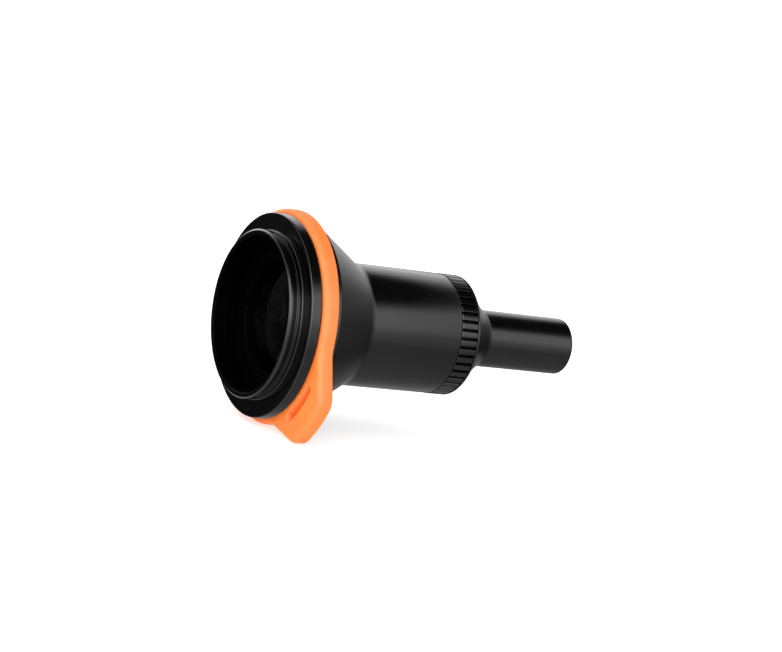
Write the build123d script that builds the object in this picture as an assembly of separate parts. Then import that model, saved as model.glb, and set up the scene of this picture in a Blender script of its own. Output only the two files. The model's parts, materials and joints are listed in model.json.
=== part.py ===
from build123d import *
import math
import os

# Laser collimator, millimetres.
# The optical axis is X. The beam leaves towards -X through a 30 mm spigot, and the battery tube
# points to +X. The origin is on the axis at the spigot's shoulder, the flange's front face.
# A "clock" angle is measured about X from straight up (+Z), turning towards -Y.
# A "station" is a distance along X. A "step" is how much one radius differs from the last.

# ---- fits --------------------------------------------------------------------------------------
running_clearance = 0.05        # radial, between pieces that turn or slide
seat_clearance = 0.03           # radial, between fixed pieces that are screwed or pressed together
end_clearance = 0.1             # along the axis or at the bottom of a hole
contact_gap = 0.02              # between pieces that bear on each other
seal_groove_gap = 0.02
edge_break = 0.15

# ---- spigot and flange -------------------------------------------------------------------------
spigot_radius = 15.0
spigot_length = 2.5
spigot_wall = 1.1
spigot_groove_start = 0.8       # behind the front rim
spigot_groove_width = 0.9
spigot_groove_depth = 0.4
rim_chamfer = 0.3
flange_step = 3.2               # out from the spigot
flange_thickness = 2.0

# ---- lever ring and its thumb tab --------------------------------------------------------------
lever_step = 1.0                # out from the flange
lever_depth = 3.2               # of the plain band, from its rim to the journal it turns on
lever_width = 2.84
lever_side_gap = 0.08           # running gap on each side of the ring
lever_edge_round = 0.45
tab_length = 5.55               # past the ring's rim
tab_clock = 127.4
tab_flank_angle = 30.0          # each flank, from the tab's centre line
tab_flank_inset = 2.3           # of each flank's line, in from the ring's rim
tab_corner_round = 3.0
tab_root_round = 5.0
tab_recess_step = 0.4           # out from the ring's rim
tab_recess_width = 2.4
tab_recess_half_angle = 11.5
tab_recess_depth = 1.0
lever_range = 60.0              # degrees, from rest towards straight up

# ---- front hub, on which the lever ring turns --------------------------------------------------
hub_thread_step = 0.3           # in from the journal
hub_thread_length = 2.9
hub_wall = 1.3                  # between the thread and the objective cell
cell_shoulder_station = 0.6     # stops the objective cell at the front

# ---- objective cell and doublet ----------------------------------------------------------------
focus_travel = 1.2
cell_past_guide_pin = 0.9
cell_nose_step = 2.0            # in from the cell's rim
cell_seat_wall = 0.85
lens_step = 1.4                 # in from the cell's nose
lens_fit = 0.05
retainer_step = 2.2             # in from the cell's rim
retainer_lip = 0.7              # over the edge of the lens
retainer_front_inset = 0.35     # behind the cell's front face
retainer_thickness = 1.35
spanner_slot_width = 1.2
spanner_slot_depth = 0.7
lens_seat_lip = 0.8             # under the edge of the lens
crown_front_curve = 34.0
crown_edge = 1.2
cement_curve = 25.0
cement_gap = 0.01
flint_edge = 3.45
flint_rear_curve = 70.0

# ---- cam pin, guide pin and hub seals ----------------------------------------------------------
cam_pin_radius = 0.6
cam_pin_share = 0.324           # of the lever ring's width, from its front face
cam_pin_clearance = 0.08
cam_groove_depth = 0.75
cam_pin_head_inset = 0.8        # below the lever ring's rim
cam_pin_slot_width = 0.2
cam_pin_slot_depth = 0.25
guide_pin_radius = 0.5
guide_pin_inset = 1.1           # behind the main housing's front face
guide_pin_clock = 60.0
lever_seal_inset = 0.6          # in front of the main housing
lever_seal_wire = 0.33
housing_seal_inset = 0.65       # in front of the hub's end
housing_seal_wire = 0.22

# ---- main housing: rim band, cone and barrel ---------------------------------------------------
rim_band_step = 0.15            # in from the flange
rim_band_width = 0.95
rim_line_width = 0.25
rim_line_depth = 0.55
cone_step = 0.3                 # in from the rim band
cone_length = 10.2
cone_root_round = 2.5
barrel_radius = 11.1
barrel_length = 18.7
barrel_wall = 1.5
plug_wall = 1.1                 # of the barrel round the bulkhead's plug

# ---- light baffles -----------------------------------------------------------------------------
baffle_insets = {"front_baffle": 1.1, "rear_baffle": 6.6}        # behind the cone's end
baffle_webs = {"front_baffle": 2.6, "rear_baffle": 5.0}          # from the bore to the aperture
baffle_rim_width = 1.4
baffle_knife_edge = 0.3

# ---- rear bulkhead and laser module ------------------------------------------------------------
journal_share = 0.72            # of the barrel's radius, for the switch ring's journal
ring_journal_length = 4.35
tail_thread_wall = 2.13         # outside the battery bore
tail_thread_length = 2.45
module_radius = 4.0
module_length = 8.8
module_past_barrel = 2.9
module_front_inset = 0.7        # behind the bulkhead's front face
module_clearance = 0.3
module_end_clearance = 0.2
diode_base_radius = 2.8
diode_base_thickness = 1.2
diode_base_inset = 2.25         # behind the module's front face
diode_cap_radius = 2.0
diode_cap_length = 1.95
diode_cap_wall = 0.25
diode_fit = 0.05
window_radius = 1.0
window_thickness = 0.25
lead_radius = 0.22
lead_circle_radius = 1.27
lead_clocks = (0.0, 120.0, 240.0)
board_radius = 3.6
board_thickness = 0.8
board_inset = 0.4               # in front of the module's rear face
board_chip_radius = 2.5
board_chips = {60.0: (0.7, 1.6, 0.9), 180.0: (0.9, 1.8, 1.2), 300.0: (0.5, 1.0, 0.6)}
module_seal_inset = 1.4         # behind the module's front face
module_seal_wire = 0.35
alignment_screw_radius = 0.97
alignment_screw_inset = 1.0     # in front of the module's rear face
alignment_screw_sink = 0.48     # below the journal
alignment_screw_clocks = (0.0, 120.0, 240.0)
hex_socket_radius = 0.5
hex_socket_depth = 0.9

# ---- knurled switch ring -----------------------------------------------------------------------
switch_ring_step = 0.05         # out from the barrel
switch_ring_gap = 0.15          # to the barrel in front and the tail housing behind
switch_ring_land = 0.75         # plain rear rim behind the grooves, chamfered
switch_ring_chamfer = 0.35
switch_ring_line_width = 0.16    # a fine turned line where the grooves end
switch_ring_line_depth = 0.25
knurl_count = 44
knurl_width = 0.62
knurl_floor_width = 0.21
knurl_depth = 0.5
switch_cavity_wall = 1.05
switch_cavity_depth = 1.6
switch_board_thickness = 0.45
switch_board_inner_gap = 0.15
switch_board_outer_gap = 0.25
wiper_inner_gap = 0.55          # out from the journal
wiper_width = 1.0
wiper_half_angle = 14.0
wiper_base_thickness = 0.3
wiper_gap = 0.05
wiper_clock = 200.0
finger_reach = (-1.9, 1.7)      # across the axis, from the finger's root to its tip
finger_root = 0.5
finger_thickness = 0.25
finger_tip = 0.4
finger_bow = 0.2
finger_width = 0.35
finger_inset = 0.12
detent_clock = 60.0
detent_inset = 1.15             # in front of the tail housing
detent_ball_radius = 0.75
detent_ball_sink = 0.5          # ball centre, below the journal
detent_hole_depth = 2.5         # below the ball's centre, in ball radii
detent_track_depth = 0.4
detent_notch_radius = 0.85
detent_notch_depth = 0.3
detent_step = 30.0
detent_positions = 4
detent_spring_wire = 0.12
detent_spring_turns = 2.5
detent_spring_radii = (0.5, 0.35)

# ---- tail housing, battery tube and its contents -----------------------------------------------
tail_cone_step = 1.35           # in from the switch ring
tail_cone_length = 5.55
tail_cone_root_round = 1.6
tail_tube_length = 19.0
tail_tube_wall = 1.03
tail_end_round = 0.7
tail_end_wall = 1.3
cell_button_radius = 3.95
cell_button_thickness = 3.6
cell_button_count = 3
cell_button_round = 0.25
cell_cap_height = 0.35
cell_cap_step = 0.6
cell_room = 2.5                 # for the contact's head, between the bush and the first cell
sleeve_clearance = 0.07
sleeve_wall = 0.2
sleeve_overhang = 0.7           # past the last cell
contact_bush_wall = 0.37        # in from the battery bore
contact_bush_flange_gap = 0.07
contact_bush_flange_length = 2.1
contact_pin_radius = 1.2
contact_head_radius = 2.4
contact_head_thickness = 0.9
battery_spring_wire = 0.2
battery_spring_turns = 4
battery_spring_radii = (2.9, 1.5)
tail_seal_inset = 0.65          # behind the tail housing's front face
tail_seal_wire = 0.33

# ---- radii that follow -------------------------------------------------------------------------
spigot_bore = spigot_radius - spigot_wall
flange_radius = spigot_radius + flange_step
lever_radius = flange_radius + lever_step
journal_radius = lever_radius - lever_depth
hub_thread_radius = journal_radius - hub_thread_step
cell_radius = hub_thread_radius - hub_wall
cell_bore = cell_radius + running_clearance
cell_nose_radius = cell_radius - cell_nose_step
lens_radius = cell_nose_radius - lens_step
retainer_radius = cell_radius - retainer_step
retainer_inner_radius = lens_radius - retainer_lip
lens_seat_inner_radius = lens_radius - lens_seat_lip
tab_reach = lever_radius + tab_length
tab_flank_offset = lever_radius - tab_flank_inset
tab_recess_radius = lever_radius + tab_recess_step
rim_band_radius = flange_radius - rim_band_step
cone_front_radius = rim_band_radius - cone_step
cone_bore_front_radius = cell_bore + edge_break
barrel_bore = barrel_radius - barrel_wall
plug_bore_radius = barrel_radius - plug_wall
switch_ring_radius = barrel_radius + switch_ring_step
switch_cavity_radius = switch_ring_radius - switch_cavity_wall
ring_journal_radius = barrel_radius * journal_share
detent_ball_height = ring_journal_radius - detent_ball_sink
tail_cone_front_radius = switch_ring_radius - tail_cone_step
sleeve_outer_radius = cell_button_radius + sleeve_clearance + sleeve_wall
battery_bore_radius = sleeve_outer_radius + running_clearance
tail_tube_radius = battery_bore_radius + tail_tube_wall
tail_thread_radius = battery_bore_radius + tail_thread_wall
contact_bush_radius = battery_bore_radius - contact_bush_wall
contact_bush_flange_radius = battery_bore_radius - contact_bush_flange_gap
module_bore = module_radius + module_clearance
cam_groove_floor = cell_radius - cam_groove_depth
lever_seal_reach = journal_radius + running_clearance / 2
housing_seal_reach = hub_thread_radius + seat_clearance / 2
tail_seal_reach = tail_thread_radius + seat_clearance / 2
module_seal_reach = module_radius + contact_gap + 2 * module_seal_wire

# ---- stations and angles that follow -----------------------------------------------------------
lever_front = flange_thickness + lever_side_gap
housing_front = flange_thickness + lever_width + 2 * lever_side_gap
hub_end = housing_front + hub_thread_length
cam_pin_station = lever_front + cam_pin_share * lever_width
cam_pin_clock = tab_clock + 180.0
guide_pin_station = housing_front + guide_pin_inset
lever_seal_station = housing_front - lever_seal_inset
housing_seal_station = hub_end - housing_seal_inset
cell_front_station = cell_shoulder_station + focus_travel + end_clearance
cell_guide_end = guide_pin_station + cell_past_guide_pin
cone_front = housing_front + rim_band_width + rim_line_width
cone_end_station = cone_front + cone_length
barrel_end_station = cone_end_station + barrel_length
module_rear_station = barrel_end_station + module_past_barrel
module_front_station = module_rear_station - module_length
module_bore_end_station = module_rear_station + module_end_clearance
module_seal_station = module_front_station + module_seal_inset
plug_front_station = module_front_station - module_front_inset
diode_base_station = module_front_station + diode_base_inset
diode_base_rear = diode_base_station + diode_base_thickness
board_front_station = module_rear_station - board_inset - board_thickness
alignment_screw_station = module_rear_station - alignment_screw_inset
ring_front = barrel_end_station + switch_ring_gap
tail_front = barrel_end_station + ring_journal_length
ring_rear = tail_front - switch_ring_gap
detent_station = tail_front - detent_inset
detent_hole_floor = detent_ball_height - detent_hole_depth * detent_ball_radius
tail_thread_end = tail_front + tail_thread_length
tail_seal_station = tail_front + tail_seal_inset
tail_cone_end_station = tail_front + tail_cone_length
tail_end_station = tail_cone_end_station + tail_tube_length
tail_inner_end = tail_end_station - tail_end_wall
contact_bush_flange_end = tail_thread_end + contact_bush_flange_length
sleeve_front_station = contact_bush_flange_end + end_clearance
cells_front = contact_bush_flange_end + cell_room
cells_rear = cells_front + cell_button_count * cell_button_thickness


def turned(outline, rounds=()):
    """A solid turned about X from a closed outline of (station, radius) points.

    rounds holds (point, radius) pairs for the corners that are rounded."""
    face = make_face(Polyline(*outline, close=True))
    for point, radius in rounds:
        corner = face.vertices().sort_by_distance((*point, 0))[0]
        face = fillet(corner, radius)
    return revolve(face, Axis.X)


def washer(front, rear, inner, outer):
    """A plain ring between two stations."""
    return turned([(front, inner), (rear, inner), (rear, outer), (front, outer)])


def disc(front, rear, outer):
    """A plain disc or rod on the axis."""
    return turned([(front, 0), (rear, 0), (rear, outer), (front, outer)])


def seal_ring(station, reach, wire):
    """An O-ring about the optical axis, whose outer edge is at a radius of reach."""
    section = Pos(station, reach - wire) * Circle(wire)
    return revolve(section, Axis.X)


def seal_groove(station, reach, wire):
    """The groove that such an O-ring lies in, as a ring to cut away."""
    half = wire + seal_groove_gap
    return washer(station - half, station + half, reach - 2 * half, reach + 1)


def radial_rod(station, clock, radius, inner, outer):
    """A round rod that points away from the axis, from one radius to another."""
    rod = Pos(station, 0, (inner + outer) / 2) * Cylinder(radius, outer - inner)
    return Rot(X=clock) * rod


def arc_slot(half_width, inner, outer, start, end):
    """A slot with round ends along a circle about X, at station 0, between two clock angles."""
    face = make_face(Polyline((-half_width, inner), (half_width, inner),
                              (half_width, outer), (-half_width, outer), close=True))
    slot = Rot(X=start - 270.0) * revolve(face, Axis.X, end - start)
    for clock in (start, end):
        slot += radial_rod(0, clock, half_width, inner, outer)
    return slot


def sag(curve, radius):
    """How far a sphere of this radius of curvature falls back at a distance from the axis."""
    return curve - math.sqrt(curve ** 2 - radius ** 2)


def coil(turns, length, base_radius, top_radius, wire):
    """A conical coil spring that stands on the XY plane, along +Z."""
    slope = math.degrees(math.atan((top_radius - base_radius) / length))
    path = Helix(length / turns, length, base_radius, cone_angle=slope)
    section = Plane(origin=path @ 0, z_dir=path % 0) * Circle(wire)
    return sweep(section, path=path, is_frenet=True)


# ---- front group -------------------------------------------------------------------------------
def make_front_mount():
    """Spigot, flange and hub in one turned piece, with the cam pin's window in the hub."""
    front = -spigot_length
    groove_start = front + spigot_groove_start
    groove_end = groove_start + spigot_groove_width
    groove_radius = spigot_radius - spigot_groove_depth
    body = turned([
        (front, spigot_bore + rim_chamfer), (front, spigot_radius - rim_chamfer),
        (front + rim_chamfer, spigot_radius),
        (groove_start, spigot_radius), (groove_start, groove_radius),
        (groove_end, groove_radius), (groove_end, spigot_radius),
        (0, spigot_radius), (0, flange_radius - edge_break), (edge_break, flange_radius),
        (flange_thickness - edge_break, flange_radius), (flange_thickness, flange_radius - edge_break),
        (flange_thickness, journal_radius), (housing_front, journal_radius),
        (housing_front, hub_thread_radius), (hub_end, hub_thread_radius), (hub_end, cell_bore),
        (cell_shoulder_station, cell_bore), (cell_shoulder_station, spigot_bore),
        (front + rim_chamfer, spigot_bore),
    ])
    body -= seal_groove(lever_seal_station, lever_seal_reach, lever_seal_wire)
    body -= seal_groove(housing_seal_station, housing_seal_reach, housing_seal_wire)
    window = arc_slot(cam_pin_radius + cam_pin_clearance, cell_bore - 1, journal_radius + 1,
                      cam_pin_clock - lever_range, cam_pin_clock)
    body -= Pos(cam_pin_station, 0, 0) * window
    body -= radial_rod(guide_pin_station, guide_pin_clock, guide_pin_radius + seat_clearance / 2,
                       cell_bore - 1, journal_radius)
    return body


def make_lever_ring():
    """The lever ring: a plain band with one flared thumb tab and a moulded recess at its root."""
    flank = math.radians(tab_flank_angle)
    root = tab_flank_offset * math.sin(flank)
    past_end = tab_reach + 1
    root_half, end_half = [(tab_flank_offset - height * math.sin(flank)) / math.cos(flank)
                           for height in (root, past_end)]
    wedge = make_face(Polyline((-root_half, root), (root_half, root),
                               (end_half, past_end), (-end_half, past_end), close=True))
    lobe = wedge & Circle(tab_reach)
    lobe = fillet(lobe.vertices().group_by(Axis.Y)[-1], tab_corner_round)
    outline = Circle(lever_radius) + lobe
    joins = [v for v in outline.vertices()
             if abs(math.hypot(v.X, v.Y) - lever_radius) < 0.01 and v.Y > root]
    outline = fillet(joins, tab_root_round)
    ring = extrude(Plane.YZ * outline, lever_width)
    for face in (ring.faces().sort_by(Axis.X)[0], ring.faces().sort_by(Axis.X)[-1]):
        rim = [e for e in ring.edges() if abs(e.center().X - face.center().X) < 1e-6]
        ring = fillet(rim, lever_edge_round)
    ring -= Pos(lever_width / 2, 0, 0) * Rot(Y=90) * Cylinder(
        journal_radius + running_clearance, 2 * lever_width)
    recess = arc_slot(1.0, tab_recess_radius - tab_recess_width / 2,
                      tab_recess_radius + tab_recess_width / 2,
                      -tab_recess_half_angle, tab_recess_half_angle)
    ring -= Pos(tab_recess_depth - 1.0, 0, 0) * recess
    ring = Pos(lever_front, 0, 0) * Rot(X=tab_clock) * ring
    ring -= radial_rod(cam_pin_station, cam_pin_clock, cam_pin_radius + seat_clearance / 2,
                       journal_radius - 1, lever_radius + 1)
    return ring


def make_cam_pin():
    """The screw pin that carries the lever ring's turn into the objective cell's groove."""
    top = lever_radius - cam_pin_head_inset
    pin = radial_rod(cam_pin_station, cam_pin_clock, cam_pin_radius,
                     cam_groove_floor + end_clearance, top)
    slot = Pos(cam_pin_station, 0, top) * Box(
        cam_pin_slot_width, 2 * cam_pin_radius + 1, 2 * cam_pin_slot_depth)
    return pin - Rot(X=cam_pin_clock) * slot


def make_guide_pin():
    """The pin in the hub that lets the objective cell slide but not turn."""
    return radial_rod(guide_pin_station, guide_pin_clock, guide_pin_radius,
                      cam_groove_floor + end_clearance, hub_thread_radius - end_clearance)


def make_objective_cell():
    """The sliding sleeve that holds the doublet, with a cam groove and a straight guide slot."""
    front = cell_front_station
    retainer_seat = front + retainer_front_inset + retainer_thickness
    bulge = sag(flint_rear_curve, lens_radius) - sag(flint_rear_curve, lens_seat_inner_radius)
    seat = lens_rear_edge() + bulge + contact_gap
    rear = seat + cell_seat_wall
    cell = turned([
        (front, retainer_radius), (front, cell_radius - edge_break), (front + edge_break, cell_radius),
        (cell_guide_end, cell_radius), (cell_guide_end, cell_nose_radius),
        (rear, cell_nose_radius),
        (rear, lens_seat_inner_radius), (seat, lens_seat_inner_radius),
        (seat, lens_radius + lens_fit), (retainer_seat, lens_radius + lens_fit),
        (retainer_seat, retainer_radius),
    ])
    middle = cam_pin_clock - lever_range / 2
    half_range = lever_range / 2
    groove_radius = (cell_radius + cam_groove_floor) / 2
    tilt = math.degrees(math.asin(
        focus_travel / 2 / (groove_radius * math.sin(math.radians(half_range)))))
    groove = arc_slot(cam_pin_radius + cam_pin_clearance, cam_groove_floor, cell_radius + 1,
                      -half_range, half_range)
    cell -= Pos(cam_pin_station + focus_travel / 2, 0, 0) * Rot(X=middle) * Rot(Z=-tilt) * groove
    slot_half = guide_pin_radius + cam_pin_clearance
    slot_front = guide_pin_station - slot_half
    slot = Pos((slot_front + cell_guide_end + 1) / 2, 0, (cam_groove_floor + cell_radius + 1) / 2) * Box(
        cell_guide_end + 1 - slot_front, 2 * slot_half, cell_radius + 1 - cam_groove_floor)
    return cell - Rot(X=guide_pin_clock) * slot


def lens_front_edge():
    """Station of the doublet's front edge, with its front face against the retaining ring."""
    bulge = sag(crown_front_curve, lens_radius) - sag(crown_front_curve, retainer_inner_radius)
    return cell_front_station + retainer_front_inset + retainer_thickness + bulge + contact_gap


def lens_rear_edge():
    """Station of the doublet's rear edge, against the cell's seat."""
    return lens_front_edge() + crown_edge + cement_gap + flint_edge


def lens_outline(front_edge, front_bulge, rear_edge, rear_bulge, front_curve, rear_curve):
    """Half section of a lens: edges at lens_radius, each face an arc that bulges by a signed sag."""
    top_front, top_rear = (front_edge, lens_radius), (rear_edge, lens_radius)
    pole_front, pole_rear = (front_edge + front_bulge, 0), (rear_edge + rear_bulge, 0)
    half = lens_radius / 2
    mid_front = (pole_front[0] - math.copysign(sag(front_curve, half), front_bulge), half)
    mid_rear = (pole_rear[0] - math.copysign(sag(rear_curve, half), rear_bulge), half)
    edges = [ThreePointArc(pole_front, mid_front, top_front), Line(top_front, top_rear),
             ThreePointArc(top_rear, mid_rear, pole_rear), Line(pole_rear, pole_front)]
    return revolve(make_face(edges), Axis.X)


def make_crown_lens():
    """Front element of the cemented doublet, bulging both ways."""
    front = lens_front_edge()
    return lens_outline(front, -sag(crown_front_curve, lens_radius),
                        front + crown_edge, sag(cement_curve, lens_radius),
                        crown_front_curve, cement_curve)


def make_flint_lens():
    """Rear element of the doublet, hollow in front where the crown lies in it."""
    front = lens_front_edge() + crown_edge + cement_gap
    return lens_outline(front, sag(cement_curve, lens_radius),
                        front + flint_edge, sag(flint_rear_curve, lens_radius),
                        cement_curve, flint_rear_curve)


def make_retainer():
    """Screw ring that holds the doublet, with two spanner slots in its front face."""
    front = cell_front_station + retainer_front_inset
    outer = retainer_radius - seat_clearance
    ring = turned([
        (front, retainer_inner_radius + edge_break), (front, outer),
        (front + retainer_thickness, outer), (front + retainer_thickness, retainer_inner_radius),
        (front + edge_break, retainer_inner_radius),
    ])
    slot = Pos(front, 0, 0) * Box(2 * spanner_slot_depth, 3 * retainer_radius, spanner_slot_width)
    return ring - slot


# ---- housing -----------------------------------------------------------------------------------
def make_main_housing():
    """Rim band, cone and barrel in one turned shell."""
    thread_bore = hub_thread_radius + seat_clearance
    line_start = housing_front + rim_band_width
    thread_end = hub_end + end_clearance
    cone_end = (cone_end_station, barrel_radius)
    rim_corner = (housing_front, rim_band_radius)
    rear_corner = (barrel_end_station, barrel_radius)
    return turned([
        (housing_front, thread_bore), rim_corner, (line_start, rim_band_radius),
        (line_start, rim_band_radius - rim_line_depth), (cone_front, rim_band_radius - rim_line_depth),
        (cone_front, cone_front_radius), cone_end, rear_corner,
        (barrel_end_station, plug_bore_radius), (plug_front_station, plug_bore_radius),
        (plug_front_station, barrel_bore), (cone_end_station, barrel_bore),
        (thread_end, cone_bore_front_radius), (thread_end, thread_bore),
    ], rounds=[(cone_end, cone_root_round), (rim_corner, edge_break), (rear_corner, edge_break)])


def make_baffle(name):
    """A light baffle: a rim pressed in the barrel and a cone that thins to a knife edge."""
    station = cone_end_station + baffle_insets[name]
    aperture = barrel_bore - baffle_webs[name]
    outer = barrel_bore - seat_clearance
    web = outer - baffle_rim_width / 2
    return turned([
        (station, outer), (station + baffle_rim_width, outer), (station + baffle_rim_width, web),
        (station + baffle_knife_edge * 2, web), (station + baffle_knife_edge, aperture),
        (station, aperture),
    ])


def make_bulkhead():
    """Rear bulkhead: a plug in the barrel, the switch ring's journal and the tail's thread."""
    plug = plug_bore_radius - seat_clearance
    body = turned([
        (plug_front_station, module_bore), (plug_front_station, plug),
        (barrel_end_station, plug), (barrel_end_station, ring_journal_radius),
        (tail_front, ring_journal_radius), (tail_front, tail_thread_radius),
        (tail_thread_end, tail_thread_radius), (tail_thread_end, contact_bush_radius + seat_clearance),
        (module_bore_end_station, contact_bush_radius + seat_clearance),
        (module_bore_end_station, module_bore),
    ])
    half = module_seal_wire + seal_groove_gap
    body -= washer(module_seal_station - half, module_seal_station + half,
                   module_bore - 1, module_seal_reach + seal_groove_gap)
    body -= seal_groove(tail_seal_station, tail_seal_reach, tail_seal_wire)
    for clock in alignment_screw_clocks:
        body -= radial_rod(alignment_screw_station, clock, alignment_screw_radius + seat_clearance,
                           module_bore - 1, ring_journal_radius + 1)
    body -= radial_rod(detent_station, detent_clock, detent_ball_radius + running_clearance,
                       detent_hole_floor, ring_journal_radius + 1)
    return body


def make_laser_module():
    """Brass laser module body: the diode's seat in front and a pocket for its board behind."""
    front = module_front_station
    seat_end = diode_base_rear + 2 * diode_fit
    return turned([
        (front, diode_cap_radius + 2 * diode_fit), (front, module_radius - edge_break),
        (front + edge_break, module_radius), (module_rear_station, module_radius),
        (module_rear_station, board_radius + diode_fit), (seat_end, board_radius + diode_fit),
        (seat_end, diode_base_radius + diode_fit),
        (diode_base_station - diode_fit, diode_base_radius + diode_fit),
        (diode_base_station - diode_fit, diode_cap_radius + 2 * diode_fit),
    ])


def make_laser_diode():
    """Diode can: a base disc and a thin cap with a round hole for its window."""
    cap_front = diode_base_station - diode_cap_length
    inner = diode_cap_radius - diode_cap_wall
    return turned([
        (cap_front, window_radius), (cap_front, diode_cap_radius),
        (diode_base_station, diode_cap_radius), (diode_base_station, diode_base_radius),
        (diode_base_rear, diode_base_radius), (diode_base_rear, 0), (diode_base_station, 0),
        (diode_base_station, inner), (cap_front + diode_cap_wall, inner),
        (cap_front + diode_cap_wall, window_radius),
    ])


def make_diode_window():
    """The glass disc behind the hole in the diode's cap."""
    front = diode_base_station - diode_cap_length + diode_cap_wall
    return disc(front, front + window_thickness, diode_cap_radius - diode_cap_wall - diode_fit)


def make_diode_leads():
    """Three wire leads from the diode's base to its board."""
    middle = (diode_base_rear + board_front_station) / 2
    lead = Pos(middle, 0, lead_circle_radius) * Rot(Y=90) * Cylinder(
        lead_radius, board_front_station - diode_base_rear)
    return Compound([Rot(X=clock) * lead for clock in lead_clocks])


def make_driver_board():
    """Round driver board in the module's rear pocket, with three parts on its front face."""
    front = board_front_station
    board = disc(front, front + board_thickness, board_radius)
    for clock, size in board_chips.items():
        chip = Pos(front - size[0] / 2, 0, board_chip_radius) * Box(*size)
        board += Rot(X=clock) * chip
    return board


def make_alignment_screws():
    """Three socket set screws that centre the laser module in the bulkhead."""
    top = ring_journal_radius - alignment_screw_sink
    screw = radial_rod(alignment_screw_station, 0, alignment_screw_radius,
                       module_radius + contact_gap, top)
    socket = Pos(alignment_screw_station, 0, top - hex_socket_depth) * extrude(
        RegularPolygon(hex_socket_radius, 6), hex_socket_depth)
    screw -= socket
    return Compound([Rot(X=clock) * screw for clock in alignment_screw_clocks])


# ---- switch ring -------------------------------------------------------------------------------
def make_switch_ring():
    """Knurled switch ring: narrow axial grooves, a plain chamfered rear rim and a detent track."""
    bore = ring_journal_radius + running_clearance
    cavity_end = ring_front + switch_cavity_depth
    track_half = detent_ball_radius
    ring = turned([
        (ring_front, switch_cavity_radius), (ring_front, switch_ring_radius - edge_break),
        (ring_front + edge_break, switch_ring_radius),
        (ring_rear - switch_ring_chamfer, switch_ring_radius),
        (ring_rear, switch_ring_radius - switch_ring_chamfer),
        (ring_rear, bore), (cavity_end, bore), (cavity_end, switch_cavity_radius),
    ])
    ring -= washer(detent_station - track_half, detent_station + track_half, bore - 1,
                   ring_journal_radius + detent_track_depth)
    for step in range(detent_positions):
        ring -= radial_rod(detent_station, detent_clock - step * detent_step, detent_notch_radius,
                           bore, ring_journal_radius + detent_track_depth + detent_notch_depth)
    groove_end = ring_rear - switch_ring_land
    ring -= washer(groove_end - switch_ring_line_width / 2, groove_end + switch_ring_line_width / 2,
                   switch_ring_radius - switch_ring_line_depth, switch_ring_radius + 1)
    top, floor = switch_ring_radius + end_clearance, switch_ring_radius - knurl_depth
    profile = make_face(Polyline(
        (-knurl_width / 2, top), (knurl_width / 2, top),
        (knurl_floor_width / 2, floor), (-knurl_floor_width / 2, floor), close=True))
    groove = Pos(ring_front - 1, 0, 0) * extrude(Plane.YZ * profile, groove_end - ring_front + 1)
    pitch = 360.0 / knurl_count
    return ring - [Rot(X=i * pitch) * groove for i in range(knurl_count)]


def make_switch_board():
    """Ring-shaped contact board on the bulkhead, under the switch ring."""
    return washer(barrel_end_station, barrel_end_station + switch_board_thickness,
                  ring_journal_radius + switch_board_inner_gap,
                  switch_cavity_radius - switch_board_outer_gap)


def make_switch_wiper():
    """Sprung contact on the switch ring: an arc-shaped base and two fingers to the board."""
    floor = ring_front + switch_cavity_depth
    root = floor - wiper_base_thickness
    inner = ring_journal_radius + wiper_inner_gap
    outer = inner + wiper_width
    face = make_face(Polyline((root, inner), (floor, inner), (floor, outer), (root, outer),
                              close=True))
    base = Rot(X=-270.0 - wiper_half_angle) * revolve(face, Axis.X, 2 * wiper_half_angle)
    tip = barrel_end_station + switch_board_thickness + wiper_gap
    start, end = finger_reach
    bow = (start + end) / 2 - finger_bow
    side = make_face(Polyline(
        (root, start - finger_root / 2), (root, start + finger_root / 2),
        (tip + finger_thickness, end), (tip + finger_thickness, end + finger_tip),
        (tip, end + finger_tip), (tip, end), ((root + tip) / 2, bow), close=True))
    for height in (inner + finger_inset, outer - finger_inset - finger_width):
        base += Pos(0, 0, height) * extrude(side, finger_width)
    return Rot(X=wiper_clock) * base


def make_detent_ball():
    """Detent ball, standing clear of the track between two notches."""
    return Rot(X=detent_clock) * (Pos(detent_station, 0, detent_ball_height)
                                  * Sphere(detent_ball_radius))


def make_detent_spring():
    """Coil spring under the detent ball."""
    floor = detent_hole_floor + detent_spring_wire
    top = detent_ball_height - detent_ball_radius
    base_radius, top_radius = detent_spring_radii
    spring = coil(detent_spring_turns, top - floor, base_radius, top_radius, detent_spring_wire)
    return Rot(X=detent_clock) * (Pos(detent_station, 0, floor) * spring)


# ---- tail --------------------------------------------------------------------------------------
def make_tail_housing():
    """Rear cone and battery tube in one turned piece, closed and rounded at its end."""
    thread_bore = tail_thread_radius + seat_clearance
    cone_root = (tail_cone_end_station, tail_tube_radius)
    end_corner = (tail_end_station, tail_tube_radius)
    thread_floor = tail_thread_end + running_clearance
    return turned([
        (tail_front, thread_bore), (tail_front, tail_cone_front_radius), cone_root, end_corner,
        (tail_end_station, 0), (tail_inner_end, 0), (tail_inner_end, battery_bore_radius),
        (thread_floor, battery_bore_radius), (thread_floor, thread_bore),
    ], rounds=[(cone_root, tail_cone_root_round), (end_corner, tail_end_round)])


def make_contact_bush():
    """Insulating bush that carries the positive contact pin."""
    bore = contact_pin_radius + seat_clearance
    front = module_bore_end_station + end_clearance
    step = tail_thread_end + running_clearance
    return turned([
        (front, bore), (front, contact_bush_radius),
        (step, contact_bush_radius), (step, contact_bush_flange_radius),
        (contact_bush_flange_end, contact_bush_flange_radius), (contact_bush_flange_end, bore),
    ])


def make_contact_pin():
    """Positive contact: a pin from the driver board to the first cell, with a flat head."""
    start = board_front_station + board_thickness + contact_gap
    end = cells_front - contact_gap
    neck = end - contact_head_thickness
    return turned([(start, 0), (start, contact_pin_radius), (neck, contact_pin_radius),
                   (neck, contact_head_radius), (end, contact_head_radius), (end, 0)])


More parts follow.
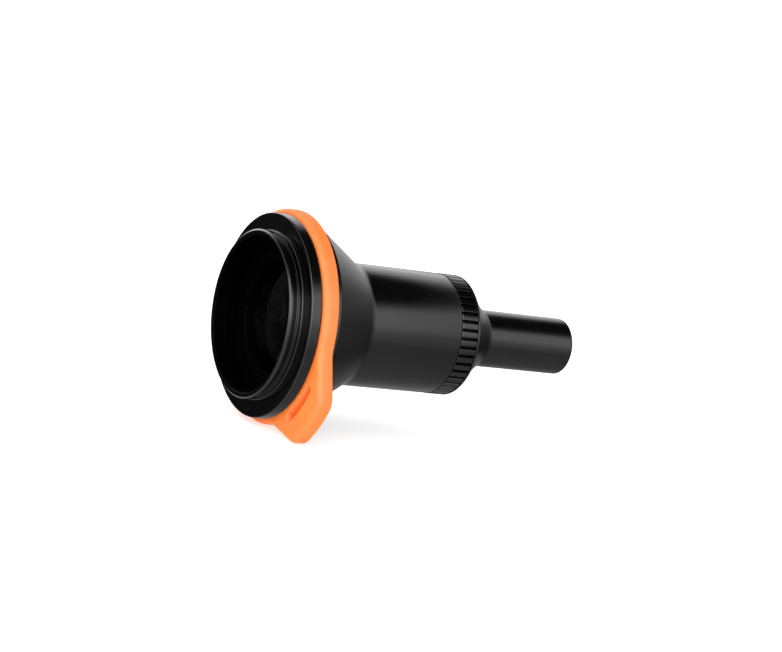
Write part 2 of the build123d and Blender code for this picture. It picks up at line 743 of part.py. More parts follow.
def make_button_cells():
    """A stack of equal button cells, each a closed can with a raised cap."""
    cells = []
    for index in range(cell_button_count):
        front = cells_front + index * cell_button_thickness
        rear = front + cell_button_thickness - contact_gap
        shoulder = front + cell_cap_height
        cap = cell_button_radius - cell_cap_step
        cells.append(turned(
            [(front, 0), (front, cap), (shoulder, cap), (shoulder, cell_button_radius),
             (rear, cell_button_radius), (rear, 0)],
            rounds=[((rear, cell_button_radius), cell_button_round)]))
    return Compound(cells)


def make_battery_sleeve():
    """Thin insulating tube round the cells."""
    return washer(sleeve_front_station, cells_rear + sleeve_overhang,
                  sleeve_outer_radius - sleeve_wall, sleeve_outer_radius)


def make_battery_spring():
    """Conical coil spring between the tail's end wall and the last cell."""
    base, top = battery_spring_radii
    rear = tail_inner_end - battery_spring_wire
    front = cells_rear + battery_spring_wire
    spring = coil(battery_spring_turns, rear - front, base, top, battery_spring_wire)
    return Pos(rear, 0, 0) * Rot(Y=-90) * spring


parts = {
    "front_mount": make_front_mount(),
    "lever_ring": make_lever_ring(),
    "lever_cam_pin": make_cam_pin(),
    "lever_o_ring": seal_ring(lever_seal_station, lever_seal_reach, lever_seal_wire),
    "objective_cell": make_objective_cell(),
    "crown_lens": make_crown_lens(),
    "flint_lens": make_flint_lens(),
    "objective_retainer": make_retainer(),
    "cell_guide_pin": make_guide_pin(),
    "main_housing": make_main_housing(),
    "housing_o_ring": seal_ring(housing_seal_station, housing_seal_reach, housing_seal_wire),
    "rear_bulkhead": make_bulkhead(),
    "laser_module": make_laser_module(),
    "laser_diode": make_laser_diode(),
    "diode_window": make_diode_window(),
    "diode_leads": make_diode_leads(),
    "driver_board": make_driver_board(),
    "module_o_ring": seal_ring(module_seal_station, module_seal_reach, module_seal_wire),
    "alignment_screws": make_alignment_screws(),
    "switch_ring": make_switch_ring(),
    "switch_board": make_switch_board(),
    "switch_wiper": make_switch_wiper(),
    "detent_ball": make_detent_ball(),
    "detent_spring": make_detent_spring(),
    "tail_housing": make_tail_housing(),
    "tail_o_ring": seal_ring(tail_seal_station, tail_seal_reach, tail_seal_wire),
    "contact_bush": make_contact_bush(),
    "contact_pin": make_contact_pin(),
    "battery_sleeve": make_battery_sleeve(),
    "button_cells": make_button_cells(),
    "battery_spring": make_battery_spring(),
}
for baffle_name in baffle_insets:
    parts[baffle_name] = make_baffle(baffle_name)

os.makedirs("parts", exist_ok=True)
for node_name, solid in parts.items():
    export_step(solid, f"parts/{node_name}.step")
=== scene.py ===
import bpy
import bmesh
import json
import math
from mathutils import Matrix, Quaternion, Vector
from mathutils.bvhtree import BVHTree

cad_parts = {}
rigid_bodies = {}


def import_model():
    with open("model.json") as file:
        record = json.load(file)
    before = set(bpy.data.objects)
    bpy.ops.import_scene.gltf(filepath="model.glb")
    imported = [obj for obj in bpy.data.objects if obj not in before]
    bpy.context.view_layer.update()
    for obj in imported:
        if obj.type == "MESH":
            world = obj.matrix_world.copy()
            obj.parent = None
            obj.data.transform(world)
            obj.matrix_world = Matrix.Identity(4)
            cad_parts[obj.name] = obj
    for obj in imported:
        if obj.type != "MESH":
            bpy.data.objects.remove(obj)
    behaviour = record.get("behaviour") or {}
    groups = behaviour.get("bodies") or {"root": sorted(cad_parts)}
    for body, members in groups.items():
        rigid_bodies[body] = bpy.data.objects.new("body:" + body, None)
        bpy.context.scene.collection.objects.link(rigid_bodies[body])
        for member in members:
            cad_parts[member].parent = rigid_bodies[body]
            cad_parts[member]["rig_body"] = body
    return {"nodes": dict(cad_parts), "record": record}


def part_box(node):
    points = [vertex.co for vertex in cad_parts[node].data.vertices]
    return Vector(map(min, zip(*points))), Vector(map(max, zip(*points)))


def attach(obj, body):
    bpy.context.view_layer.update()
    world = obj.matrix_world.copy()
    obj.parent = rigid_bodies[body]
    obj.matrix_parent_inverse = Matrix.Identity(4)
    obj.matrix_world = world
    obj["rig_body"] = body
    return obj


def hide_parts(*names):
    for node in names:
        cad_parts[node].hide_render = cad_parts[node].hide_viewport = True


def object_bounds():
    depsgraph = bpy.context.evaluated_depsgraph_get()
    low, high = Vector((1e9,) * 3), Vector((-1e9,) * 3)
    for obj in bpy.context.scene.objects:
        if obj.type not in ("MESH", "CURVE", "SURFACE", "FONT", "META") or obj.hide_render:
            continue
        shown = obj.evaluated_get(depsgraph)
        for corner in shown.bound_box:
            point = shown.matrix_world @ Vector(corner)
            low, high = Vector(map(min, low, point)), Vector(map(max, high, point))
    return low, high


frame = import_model()
cad_low, cad_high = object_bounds()

MM = 0.001
# Camera: the angles in degrees and the distance in metres from which the collimator is seen, the
# point that it is aimed at, and its focal length in millimetres.
CAMERA_AZIMUTH = -31.35
CAMERA_ELEVATION = 8.94
CAMERA_ROLL = 11.55
CAMERA_DISTANCE = 0.415
CAMERA_AIM = Vector((24.67, -3.29, 1.08)) * MM
CAMERA_LENS = 105.88

# Wide suns that only light matt surfaces.
SUN_WIDTH = math.radians(120)
SUNS = ((-0.85, -0.42, 0.3, 2.85), (0.0, -0.1, 1.0, 2.2))  # direction it comes from, strength
BACKDROP_STRENGTH = 1.2        # the plain white that the camera sees past the floor
FRONT_STRENGTH = 4.2           # surround in front of the collimator and behind it
BACK_STRENGTH = 2.7
FRONT_TO_BACK = (-0.5, 0.4)    # Y of the direction where the change from one to the other lies
# Share of the surround's strength by the height of the direction: (Z of the direction, share).
BY_HEIGHT = ((-1.0, 0.24), (-0.35, 0.26), (-0.05, 0.5), (0.25, 1.0), (0.5, 1.0), (0.74, 0.012))
# The same along the beam's axis, dark beyond the tail: (X of the direction, share).
BY_LENGTH = ((-1.0, 1.0), (0.0, 1.0), (0.5, 0.5), (0.8, 0.32), (0.97, 0.12))
# A dark card behind, mirrored by the flange's face: its direction, how near to it the dark starts
# and is full, and what share of the surround is left there.
DARK_CARD = ((-0.5, 0.84, -0.16), 0.72, 0.94, 0.03)

FLOOR_HALF = 20.0              # half the floor's width
FLOOR_GAP = 0.02 * MM          # how far the floor lies below the lowest point
FLOOR_GLOW = 0.55              # lifts the shadows on the near-white floor

AROUND = 360                   # segments round a turned piece
SECTION_CLOCK = math.pi        # turned pieces are cut straight down
EDGE_ROUND = 0.09 * MM         # broken edges on turned metal
MOUNT_EDGE_ROUND = 0.2 * MM    # softer ones on the spigot and its flange
MOUNT_BORE = 14.46 * MM        # what lies within this radius of the front mount is matt black
EDGE_STEPS = 4                 # segments in a rounded edge
CORNER_TURN = math.radians(24) # a section's corner sharper than this gets a rounded edge
STRAIGHT = math.radians(0.6)   # less turn than this is a straight run
SAME_POINT = 0.002 * MM
AXIS_NEAR = 0.001 * MM
EDGE_SHARE = 0.3               # most of a straight run that an arc may take at one end
HOLD = 0.06 * MM               # how far beside an arc its holding point lies
HOLD_SHARE = 0.15              # and most of the run that it may take


# ---- reading shapes from the frame -------------------------------------------------------------
def on_clock(clock, radius):
    """(y, z) at a clock angle about X: 0 is straight up, turning towards -Y."""
    return -math.sin(clock) * radius, math.cos(clock) * radius


def section(node, clock):
    """The closed (x, radius) outline of a CAD node's half section at a clock angle, in order."""
    mesh = bmesh.new()
    mesh.from_mesh(frame["nodes"][node].data)
    bmesh.ops.remove_doubles(mesh, verts=mesh.verts, dist=1e-7)
    out = Vector((0, *on_clock(clock, 1.0)))
    normal = Vector((1, 0, 0)).cross(out)
    cut = bmesh.ops.bisect_plane(mesh, geom=mesh.verts[:] + mesh.edges[:] + mesh.faces[:],
                                 dist=1e-7, plane_co=(0, 0, 0), plane_no=normal)["geom_cut"]
    links = {}
    for edge in (g for g in cut if isinstance(g, bmesh.types.BMEdge)):
        ends = sorted(((round(v.co.x, 7), round(v.co.dot(out), 7)) for v in edge.verts),
                      key=lambda p: p[1])
        (low_x, low_r), high = ends
        if high[1] < AXIS_NEAR:
            continue
        if low_r < 0:
            share = low_r / (low_r - high[1])
            low_x, low_r = round(low_x + share * (high[0] - low_x), 7), 0.0
        links.setdefault((low_x, low_r), set()).add(high)
        links.setdefault(high, set()).add((low_x, low_r))
    mesh.free()
    ends = [p for p, near in links.items() if len(near) == 1]
    if len(ends) == 2:
        links[ends[0]].add(ends[1])
        links[ends[1]].add(ends[0])
    start = max(links, key=lambda p: p[1])
    loop, last, here = [start], None, start
    while True:
        step = [p for p in links[here] if p != last]
        if not step or step[0] == start:
            break
        last, here = here, step[0]
        loop.append(here)
    return without_straight(loop)


def without_straight(loop):
    """The outline without doubled points and points that lie on a straight run."""
    single = [p for i, p in enumerate(loop) if math.dist(p, loop[i - 1]) > SAME_POINT]
    kept = []
    for i, point in enumerate(single):
        before = Vector(point) - Vector(kept[-1] if kept else single[-1])
        after = Vector(single[(i + 1) % len(single)]) - Vector(point)
        if before.angle(after) > STRAIGHT:
            kept.append(point)
    return kept


def rounded(loop, radius):
    """The outline with its sharp corners turned into short arcs, each held by a point beside it."""
    done = []
    for i, point in enumerate(loop):
        here = Vector(point)
        before = here - Vector(loop[i - 1])
        after = Vector(loop[(i + 1) % len(loop)]) - here
        turn = before.angle(after)
        if turn < CORNER_TURN or point[1] < AXIS_NEAR:
            done.append(point)
            continue
        reach = min(radius * math.tan(turn / 2), EDGE_SHARE * before.length, EDGE_SHARE * after.length)
        into, away = before.normalized(), after.normalized()
        start, end = here - into * reach, here + away * reach
        done.append(tuple(start - into * min(HOLD, HOLD_SHARE * before.length)))
        for step in range(EDGE_STEPS + 1):
            t = step / EDGE_STEPS
            done.append(tuple(start * (1 - t) ** 2 + here * 2 * t * (1 - t) + end * t * t))
        done.append(tuple(end + away * min(HOLD, HOLD_SHARE * after.length)))
    return done


def outer_radius(tree, x, clock):
    """Radius of a CAD mesh's outer skin at a station and clock angle."""
    far = Vector((x, *on_clock(clock, 0.1)))
    hit = tree.ray_cast(far, Vector((0, *on_clock(clock, -1.0))))[0]
    return math.hypot(hit.y, hit.z)


def bvh(node):
    """A search tree of a CAD node's mesh."""
    mesh = frame["nodes"][node].data
    return BVHTree.FromPolygons([v.co for v in mesh.vertices], [p.vertices for p in mesh.polygons])


# ---- making pieces -----------------------------------------------------------------------------
def piece_from_rings(name, rings, node, material, sharp=40, bore=0.0):
    """A closed mesh from equal rings of points round the axis. It stands for one CAD node.

    Faces that lie within the bore's radius are matt black."""
    mesh = bpy.data.meshes.new(name)
    count, size = len(rings), len(rings[0])
    verts = [p for ring in rings for p in ring]
    faces = []
    for i in range(count):
        j = (i + 1) % count
        for k in range(size):
            m = (k + 1) % size
            faces.append((i * size + k, i * size + m, j * size + m, j * size + k))
    mesh.from_pydata(verts, [], faces)
    clean = bmesh.new()
    clean.from_mesh(mesh)
    bmesh.ops.remove_doubles(clean, verts=clean.verts, dist=2e-7)
    bmesh.ops.dissolve_degenerate(clean, edges=clean.edges, dist=1e-8)
    bmesh.ops.delete(clean, geom=[e for e in clean.edges if e.is_wire], context="EDGES")
    bmesh.ops.recalc_face_normals(clean, faces=clean.faces)
    for face in clean.faces:
        face.material_index = int(max(math.hypot(v.co.y, v.co.z) for v in face.verts) < bore)
    clean.to_mesh(mesh)
    clean.free()
    mesh.shade_smooth()
    mesh.set_sharp_from_angle(angle=math.radians(sharp))
    piece = bpy.data.objects.new(name, mesh)
    bpy.context.scene.collection.objects.link(piece)
    mesh.materials.append(material)
    if bore:
        mesh.materials.append(MATERIALS["matt_black_metal"])
    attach(piece, frame["nodes"][node]["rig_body"])
    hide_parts(node)
    return piece


def lathe(name, node, material, edge=EDGE_ROUND, bore=0.0):
    """A finely turned piece with broken edges, from the CAD node's own section."""
    outline = rounded(section(node, SECTION_CLOCK), edge)
    rings = []
    for i in range(AROUND):
        angle = 2 * math.pi * i / AROUND
        rings.append([(x, *on_clock(angle, r)) for x, r in outline])
    return piece_from_rings(name, rings, node, material, bore=bore)


# ---- materials ---------------------------------------------------------------------------------
def material(name):
    """A new node material with its nodes, its links and its shader."""
    made = bpy.data.materials.new(name)
    made.use_nodes = True
    nodes, links = made.node_tree.nodes, made.node_tree.links
    shader = nodes["Principled BSDF"]
    return made, nodes, links, shader


def noise(nodes, links, scale, detail=3.0):
    """A noise texture in object coordinates, scaled in turns per metre."""
    where = nodes.new("ShaderNodeTexCoord")
    texture = nodes.new("ShaderNodeTexNoise")
    texture.inputs["Scale"].default_value = scale
    texture.inputs["Detail"].default_value = detail
    links.new(where.outputs["Object"], texture.inputs["Vector"])
    return texture.outputs["Fac"]


def spread(nodes, links, source, low, high):
    """Maps a noise's middle values to a range of numbers."""
    ranged = nodes.new("ShaderNodeMapRange")
    ranged.inputs["From Min"].default_value = 0.3
    ranged.inputs["From Max"].default_value = 0.7
    ranged.inputs["To Min"].default_value = low
    ranged.inputs["To Max"].default_value = high
    links.new(source, ranged.inputs["Value"])
    return ranged.outputs["Result"]


def smooth(nodes, links, source, start, end, low, high):
    """An eased change from one value to another between two ends of the source."""
    ranged = nodes.new("ShaderNodeMapRange")
    ranged.interpolation_type = "SMOOTHSTEP"
    for socket, value in zip(("From Min", "From Max", "To Min", "To Max"), (start, end, low, high)):
        ranged.inputs[socket].default_value = value
    links.new(source, ranged.inputs["Value"])
    return ranged.outputs["Result"]


def two_tone(nodes, links, source, dark, light):
    """Mixes two colours by a 0-1 value."""
    ramp = nodes.new("ShaderNodeValToRGB")
    ramp.color_ramp.elements[0].position = 0.35
    ramp.color_ramp.elements[0].color = (*dark, 1)
    ramp.color_ramp.elements[1].position = 0.65
    ramp.color_ramp.elements[1].color = (*light, 1)
    links.new(source, ramp.inputs["Fac"])
    return ramp.outputs["Color"]


def bump(nodes, links, source, depth, onto=None):
    """A bump of a real depth in metres, laid over another bump if one is given."""
    made = nodes.new("ShaderNodeBump")
    made.inputs["Strength"].default_value = 1.0
    made.inputs["Distance"].default_value = depth
    links.new(source, made.inputs["Height"])
    if onto is not None:
        links.new(onto, made.inputs["Normal"])
    return made.outputs["Normal"]


WAVE_RADIANS = 20.0            # what Blender's wave texture turns per metre at a scale of 1


def turning_marks(nodes, links, pitch):
    """Fine rings left by a lathe tool, as waves along X."""
    where = nodes.new("ShaderNodeTexCoord")
    wave = nodes.new("ShaderNodeTexWave")
    wave.bands_direction = "X"
    wave.inputs["Scale"].default_value = 2 * math.pi / (WAVE_RADIANS * pitch)
    wave.inputs["Distortion"].default_value = 1.5
    wave.inputs["Detail"].default_value = 2.0
    wave.inputs["Detail Scale"].default_value = 2.0
    links.new(where.outputs["Object"], wave.inputs["Vector"])
    return wave.outputs["Fac"]


def black_anodised(name="satin_black", dark=0.0009, light=0.0015, rough=(0.15, 0.18)):
    """Satin black anodised aluminium: bead-blast grain, faint turning rings, slight sheen change."""
    made, nodes, links, shader = material(name)
    grain = noise(nodes, links, 9000.0, 2.0)
    cloud = noise(nodes, links, 220.0, 3.0)
    links.new(two_tone(nodes, links, cloud, (dark,) * 3, (light, light, light * 1.04)),
              shader.inputs["Base Color"])
    links.new(spread(nodes, links, cloud, *rough), shader.inputs["Roughness"])
    blasted = bump(nodes, links, grain, 0.0018 * MM)
    rings = bump(nodes, links, turning_marks(nodes, links, 0.12 * MM), 0.0006 * MM, onto=blasted)
    links.new(rings, shader.inputs["Normal"])
    shader.inputs["IOR"].default_value = 1.5
    return made


def matt_black(name="matt_black"):
    """Matt black internal finish."""
    made, nodes, links, shader = material(name)
    grain = noise(nodes, links, 6000.0, 2.0)
    links.new(two_tone(nodes, links, grain, (0.0002,) * 3, (0.0004,) * 3), shader.inputs["Base Color"])
    links.new(spread(nodes, links, grain, 0.42, 0.55), shader.inputs["Roughness"])
    links.new(bump(nodes, links, grain, 0.004 * MM), shader.inputs["Normal"])
    shader.inputs["Specular IOR Level"].default_value = 0.02
    return made


def orange_plastic():
    """Satin orange moulded plastic with a fine spark-eroded grain, and painted shade in the ring's
    recess: darker colour and less sheen there.
    """
    made, nodes, links, shader = material("orange_plastic")
    cloud = noise(nodes, links, 260.0, 4.0)
    grain = noise(nodes, links, 7000.0, 2.0)
    plain = two_tone(nodes, links, cloud, (0.93, 0.185, 0.008), (0.96, 0.2, 0.011))
    # painted shade: the recess's depth darkens the colour by the tint below and lowers the sheen
    recess_painted_shade = nodes.new("ShaderNodeAttribute")
    recess_painted_shade.attribute_name = "recess_painted_shade"
    painted_shade_mix = nodes.new("ShaderNodeMix")
    painted_shade_mix.data_type = "RGBA"
    painted_shade_mix.blend_type = "MULTIPLY"
    factor, upper, painted_shade_tint = (painted_shade_mix.inputs[i] for i in (0, 6, 7))
    links.new(recess_painted_shade.outputs["Fac"], factor)
    links.new(plain, upper)
    # the tint of the painted shade in the recess
    painted_shade_tint.default_value = (0.9, 0.5, 0.3, 1)
    links.new(smooth(nodes, links, recess_painted_shade.outputs["Fac"], 0.0, 1.0, 0.5, 0.04),
              shader.inputs["Specular IOR Level"])
    links.new(painted_shade_mix.outputs[2], shader.inputs["Base Color"])
    links.new(spread(nodes, links, grain, 0.52, 0.6), shader.inputs["Roughness"])
    links.new(bump(nodes, links, grain, 0.003 * MM), shader.inputs["Normal"])
    shader.inputs["IOR"].default_value = 1.68
    shader.inputs["Subsurface Weight"].default_value = 0.12
    shader.inputs["Subsurface Radius"].default_value = (1.0, 0.35, 0.1)
    shader.inputs["Subsurface Scale"].default_value = 0.6 * MM
    return made


def glass():
    """Optical glass, coated, with slight dust, and tinted so deep that the bore reads black: the tint
    is painted shade.
    """
    made, nodes, links, shader = material("coated_glass")
    dust = noise(nodes, links, 900.0, 6.0)
    links.new(spread(nodes, links, dust, 0.0, 0.03), shader.inputs["Roughness"])
    # near-black tint: painted shade for the dark bore behind the glass
    links.new(two_tone(nodes, links, dust, (0.014, 0.015, 0.017), (0.010, 0.011, 0.012)),
              shader.inputs["Base Color"])
    shader.inputs["Transmission Weight"].default_value = 1.0
    shader.inputs["IOR"].default_value = 1.5
    shader.inputs["Specular IOR Level"].default_value = 0.0
    return made


def metal(name, dark, light, rough):
    """Plain turned metal with small changes of tone."""
    made, nodes, links, shader = material(name)
    cloud = noise(nodes, links, 900.0, 3.0)
    links.new(two_tone(nodes, links, cloud, dark, light), shader.inputs["Base Color"])
    links.new(spread(nodes, links, cloud, *rough), shader.inputs["Roughness"])
    links.new(bump(nodes, links, cloud, 0.002 * MM), shader.inputs["Normal"])
    shader.inputs["Metallic"].default_value = 1.0
    return made


def dull(name, dark, light, rough):
    """Rubber, plastic or board: a speckled non-metal."""
    made, nodes, links, shader = material(name)
    speck = noise(nodes, links, 1500.0, 4.0)
    links.new(two_tone(nodes, links, speck, dark, light), shader.inputs["Base Color"])
    links.new(spread(nodes, links, speck, *rough), shader.inputs["Roughness"])
    links.new(bump(nodes, links, speck, 0.004 * MM), shader.inputs["Normal"])
    return made


MATERIALS = {
    "black_anodised": black_anodised(),
    "black_anodised_knurl": black_anodised("satin_black_knurl", 0.0009, 0.0015, (0.15, 0.19)),
    "matt_black_metal": matt_black(),
    "orange_plastic": orange_plastic(),
    "lens_glass": glass(),
    "steel": metal("steel", (0.45,) * 3, (0.6,) * 3, (0.22, 0.35)),
    "brass": metal("brass", (0.55, 0.38, 0.16), (0.68, 0.48, 0.2), (0.22, 0.35)),
    "gold_can": metal("gold_can", (0.7, 0.5, 0.18), (0.8, 0.6, 0.25), (0.15, 0.25)),
    "circuit_board": dull("circuit_board", (0.01, 0.09, 0.04), (0.015, 0.12, 0.05), (0.3, 0.4)),
    "seal_rubber": dull("seal_rubber", (0.008,) * 3, (0.014,) * 3, (0.6, 0.75)),
    "white_plastic": dull("white_plastic", (0.7, 0.7, 0.68), (0.78, 0.78, 0.76), (0.4, 0.5)),
}


# ---- the visible pieces ------------------------------------------------------------------------
TAB_CLOCK = math.radians(127.4)  # where the thumb tab stands at rest
RECESS_INNER = 18.85 * MM      # the hollow in the ring's front face at the tab's root
RECESS_OUTER = 20.85 * MM
RECESS_SLOPE = 0.8 * MM
RECESS_HALF_ANGLE = math.radians(12.2)
RECESS_FADE = (1.12, 0.9)      # its ends ease in between these shares of the half angle
RECESS_REACH = 1.15            # the recess's painted shade reaches no further than this share of the half angle
RECESS_DEPTH = 0.95 * MM
RECESS_FLOOR = 1.02            # nor deeper than this share of the depth


def eased(value, start, end):
    """0 at the start, 1 at the end, with an eased change between."""
    t = min(max((value - start) / (end - start), 0.0), 1.0)
    return t * t * (3 - 2 * t)


RING_STEPS = 720               # segments round the lever ring
RING_ROWS = 26                 # rows across each of its sides
RING_FRONT_ROUND = 1.05 * MM   # the front rim's rounding
RING_FRONT_STEPS = 10          # segments in it
RING_BACK_ROUND = 0.5 * MM     # the rear rim's
RING_BACK_STEPS = 6
RING_BORE_EDGE = 0.12 * MM
RING_READ_AT = 0.72            # where its CAD outline is read, as a share of its width
RECESS_INWARD = 0.2 * MM       # the side's rows start this far within the rounding


def quarter(steps, begin=0):
    """Angles of a quarter turn, from a step up to the last."""
    return [math.pi / 2 * k / steps for k in range(begin, begin + steps)]


def make_lever_ring():
    """The orange ring with its thumb tab, as a soft moulding: rounded rims and a root recess."""
    low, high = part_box("lever_ring")
    tree = bvh("lever_ring")
    read_x = low.x + RING_READ_AT * (high.x - low.x)
    side_clock = TAB_CLOCK + math.pi / 2
    plain = outer_radius(tree, read_x, side_clock)
    inner = min(r for x, r in section("lever_ring", side_clock))
    start = plain - RING_FRONT_ROUND - RECESS_INWARD
    front, back = RING_FRONT_ROUND, RING_BACK_ROUND
    rings = []
    for i in range(RING_STEPS):
        clock = 2 * math.pi * i / RING_STEPS
        radius = outer_radius(tree, read_x, clock)
        off = abs(clock - TAB_CLOCK) / RECESS_HALF_ANGLE
        side = [start + (radius - front - start) * k / RING_ROWS for k in range(RING_ROWS + 1)]
        ring = [(low.x + RING_BORE_EDGE, inner), (low.x, inner + RING_BORE_EDGE)]
        for r in side:
            groove = eased(r, RECESS_INNER, RECESS_INNER + RECESS_SLOPE) * eased(off, *RECESS_FADE)
            groove *= eased(r, RECESS_OUTER, RECESS_OUTER - RECESS_SLOPE)
            ring.append((low.x + RECESS_DEPTH * groove, r))
        for turn in quarter(RING_FRONT_STEPS, begin=1):
            ring.append((low.x + front * (1 - math.cos(turn)), radius - front * (1 - math.sin(turn))))
        for turn in quarter(RING_BACK_STEPS):
            ring.append((high.x - back * (1 - math.sin(turn)), radius - back * (1 - math.cos(turn))))
        ring += [(high.x, r) for r in reversed(side)]
        ring += [(high.x, inner + RING_BORE_EDGE), (high.x - RING_BORE_EDGE, inner)]
        rings.append([(x, *on_clock(clock, r)) for x, r in ring])
    piece = piece_from_rings("lever_ring_moulding", rings, "lever_ring", MATERIALS["orange_plastic"])
    piece.visible_glossy = False
    mark_painted_recess_shade(piece.data)


def mark_painted_recess_shade(mesh):
    """Stores how deep each point of the recess lies, from 0 to 1, for the ring's material, which
    paints shade in the recess by it.
    """
    recess_painted_shade = mesh.attributes.new("recess_painted_shade", "FLOAT", "POINT")
    front = min(v.co.x for v in mesh.vertices)
    for vert, value in zip(mesh.vertices, recess_painted_shade.data):
        radius = math.hypot(vert.co.y, vert.co.z)
        clock = math.atan2(-vert.co.y, vert.co.z) % (2 * math.pi)
        depth = (vert.co.x - front) / RECESS_DEPTH
        inside = abs(clock - TAB_CLOCK) < RECESS_REACH * RECESS_HALF_ANGLE
        inside = inside and RECESS_INNER < radius < RECESS_OUTER and depth < RECESS_FLOOR
        value.value = depth if inside else 0.0


TEETH = 44                     # of the knurled ring
TOOTH_STEPS = 20               # segments across a tooth and its groove
TOOTH_CROWN = 0.17 * MM        # how far a tooth falls off towards its grooves
KNURL_EDGE = 0.07 * MM
KNURL_READ_AT = 0.4            # where its CAD grooves are read, as a share of its width
KNURL_LAND = 0.83 * MM         # the plain rim behind the grooves


def make_switch_ring():
    """The knurled ring: its turned section, with the CAD grooves read round the rim."""
    low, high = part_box("switch_ring")
    tree = bvh("switch_ring")
    read_x = low.x + KNURL_READ_AT * (high.x - low.x)
    groove_end = high.x - KNURL_LAND
    outline = rounded(section("switch_ring", math.pi / TEETH), KNURL_EDGE)
    rings = []
    for i in range(TEETH * TOOTH_STEPS):
        clock = 2 * math.pi * i / (TEETH * TOOTH_STEPS)
        off = abs(2 * ((i / TOOTH_STEPS) % 1.0) - 1)
        cut = outer_radius(tree, read_x, clock) - TOOTH_CROWN * off ** 4
        ring = [(x, min(r, cut) if x < groove_end else r) for x, r in outline]
        rings.append([(x, *on_clock(clock, r)) for x, r in ring])
    piece_from_rings("switch_ring_knurled", rings, "switch_ring", MATERIALS["black_anodised_knurl"],
                     sharp=30)


def dress_the_rest(replaced):
    """Puts the right material on every CAD node that stays."""
    for entry in frame["record"]["subparts"]:
        if entry["node"] in replaced:
            continue
        mesh = frame["nodes"][entry["node"]].data
        mesh.materials.clear()
        mesh.materials.append(MATERIALS[entry["material_slot"]])


# ---- studio ------------------------------------------------------------------------------------
def make_camera():
    """A camera at its angles and distance from the point that it is aimed at."""
    azimuth, elevation = math.radians(CAMERA_AZIMUTH), math.radians(CAMERA_ELEVATION)
    back = Vector((math.sin(azimuth) * math.cos(elevation),
                   -math.cos(azimuth) * math.cos(elevation), math.sin(elevation)))
    data = bpy.data.cameras.new("camera")
    data.lens = CAMERA_LENS
    data.clip_start, data.clip_end = 0.01, 50.0
    camera = bpy.data.objects.new("camera", data)
    camera.location = CAMERA_AIM + back * CAMERA_DISTANCE
    camera.rotation_mode = "QUATERNION"
    level = (-back).to_track_quat("-Z", "Y")
    camera.rotation_quaternion = level @ Quaternion((0, 0, 1), math.radians(CAMERA_ROLL))
    bpy.context.scene.collection.objects.link(camera)
    bpy.context.scene.camera = camera


def make_floor():
    """A wide pale floor at the collimator's lowest point."""
    made, nodes, links, shader = material("pale_floor")
    cloud = noise(nodes, links, 4.0, 2.0)
    links.new(two_tone(nodes, links, cloud, (0.90, 0.90, 0.90), (0.91, 0.91, 0.91)),
              shader.inputs["Base Color"])
    links.new(spread(nodes, links, cloud, 0.75, 0.85), shader.inputs["Roughness"])
    shader.inputs["Emission Color"].default_value = (1, 1, 1, 1)
    shader.inputs["Emission Strength"].default_value = FLOOR_GLOW
    size = FLOOR_HALF
    z = cad_low.z - FLOOR_GAP
    mesh = bpy.data.meshes.new("floor")
    mesh.from_pydata([(-size, -size, z), (size, -size, z), (size, size, z), (-size, size, z)], [],
                     [(0, 1, 2, 3)])
    mesh.materials.append(made)
    floor = bpy.data.objects.new("floor", mesh)
    floor.visible_glossy = False
    bpy.context.scene.collection.objects.link(floor)


def profile(nodes, links, source, stops):
    """An eased curve through stops of (value from -1 to 1, share from 0 to 1)."""
    half = nodes.new("ShaderNodeMapRange")
    half.inputs["From Min"].default_value = -1.0
    links.new(source, half.inputs["Value"])
    ramp = nodes.new("ShaderNodeValToRGB")
    ramp.color_ramp.interpolation = "EASE"
    marks = ramp.color_ramp.elements
    while len(marks) < len(stops):
        marks.new(0.5)
    for mark, (value, share) in zip(marks, stops):
        mark.position = (value + 1) / 2
        mark.color = (share, share, share, 1)
    links.new(half.outputs["Result"], ramp.inputs["Fac"])
    return ramp.outputs["Color"]


def product(nodes, links, factors):
    """The product of several values."""
    level = factors[0]
    for factor in factors[1:]:
        step = nodes.new("ShaderNodeMath")
        step.operation = "MULTIPLY"
        links.new(level, step.inputs[0])
        links.new(factor, step.inputs[1])
        level = step.outputs["Value"]
    return level


def make_suns():
    """Wide soft suns for the matt surfaces, which no sheen mirrors."""
    for number, (x, y, z, energy) in enumerate(SUNS):
        sun = bpy.data.lights.new(f"sun_{number}", "SUN")
        sun.energy = energy
        sun.angle = SUN_WIDTH
        holder = bpy.data.objects.new(f"sun_{number}", sun)
        holder.rotation_euler = Vector((x, y, z)).to_track_quat("Z", "Y").to_euler()
        holder.visible_glossy = False
        bpy.context.scene.collection.objects.link(holder)


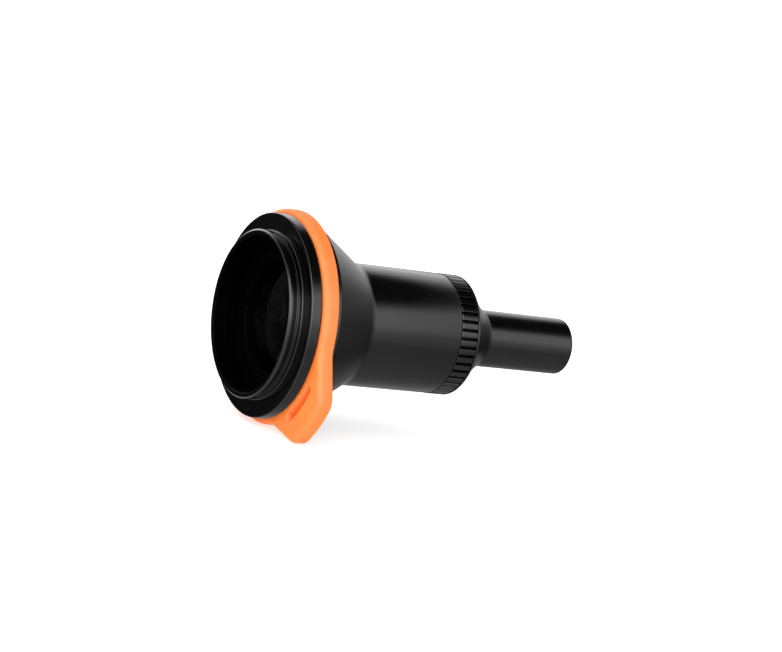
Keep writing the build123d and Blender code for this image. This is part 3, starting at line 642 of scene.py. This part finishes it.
def make_surround():
    """A surround for the sheen, dark overhead and past the tail, before a plain white backdrop."""
    world = bpy.data.worlds.new("studio")
    bpy.context.scene.world = world
    world.use_nodes = True
    world.cycles_visibility.diffuse = False
    nodes, links = world.node_tree.nodes, world.node_tree.links
    surround = nodes["Background"]
    where = nodes.new("ShaderNodeTexCoord")
    split = nodes.new("ShaderNodeSeparateXYZ")
    links.new(where.outputs["Generated"], split.inputs["Vector"])
    factors = [profile(nodes, links, split.outputs["Z"], BY_HEIGHT),
               profile(nodes, links, split.outputs["X"], BY_LENGTH),
               smooth(nodes, links, split.outputs["Y"], *FRONT_TO_BACK, FRONT_STRENGTH, BACK_STRENGTH)]
    card, start, full, share = DARK_CARD
    towards = nodes.new("ShaderNodeVectorMath")
    towards.operation = "DOT_PRODUCT"
    towards.inputs[1].default_value = Vector(card).normalized()
    links.new(where.outputs["Generated"], towards.inputs[0])
    factors.append(smooth(nodes, links, towards.outputs["Value"], start, full, 1.0, share))
    surround.inputs["Color"].default_value = (1, 1, 1, 1)
    links.new(product(nodes, links, factors), surround.inputs["Strength"])
    seen = nodes.new("ShaderNodeBackground")
    seen.inputs["Color"].default_value = (1, 1, 1, 1)
    seen.inputs["Strength"].default_value = BACKDROP_STRENGTH
    path = nodes.new("ShaderNodeLightPath")
    mix = nodes.new("ShaderNodeMixShader")
    links.new(path.outputs["Is Camera Ray"], mix.inputs["Fac"])
    links.new(surround.outputs["Background"], mix.inputs[1])
    links.new(seen.outputs["Background"], mix.inputs[2])
    links.new(mix.outputs["Shader"], nodes["World Output"].inputs["Surface"])
    bpy.context.scene.view_settings.view_transform = "Standard"


lathe("front_mount_turned", "front_mount", MATERIALS["black_anodised"], MOUNT_EDGE_ROUND, MOUNT_BORE)
lathe("main_housing_turned", "main_housing", MATERIALS["black_anodised"])
lathe("tail_housing_turned", "tail_housing", MATERIALS["black_anodised"])
make_lever_ring()
make_switch_ring()
dress_the_rest(replaced={"front_mount", "main_housing", "tail_housing", "lever_ring", "switch_ring"})
make_floor()
make_suns()
make_surround()
make_camera()
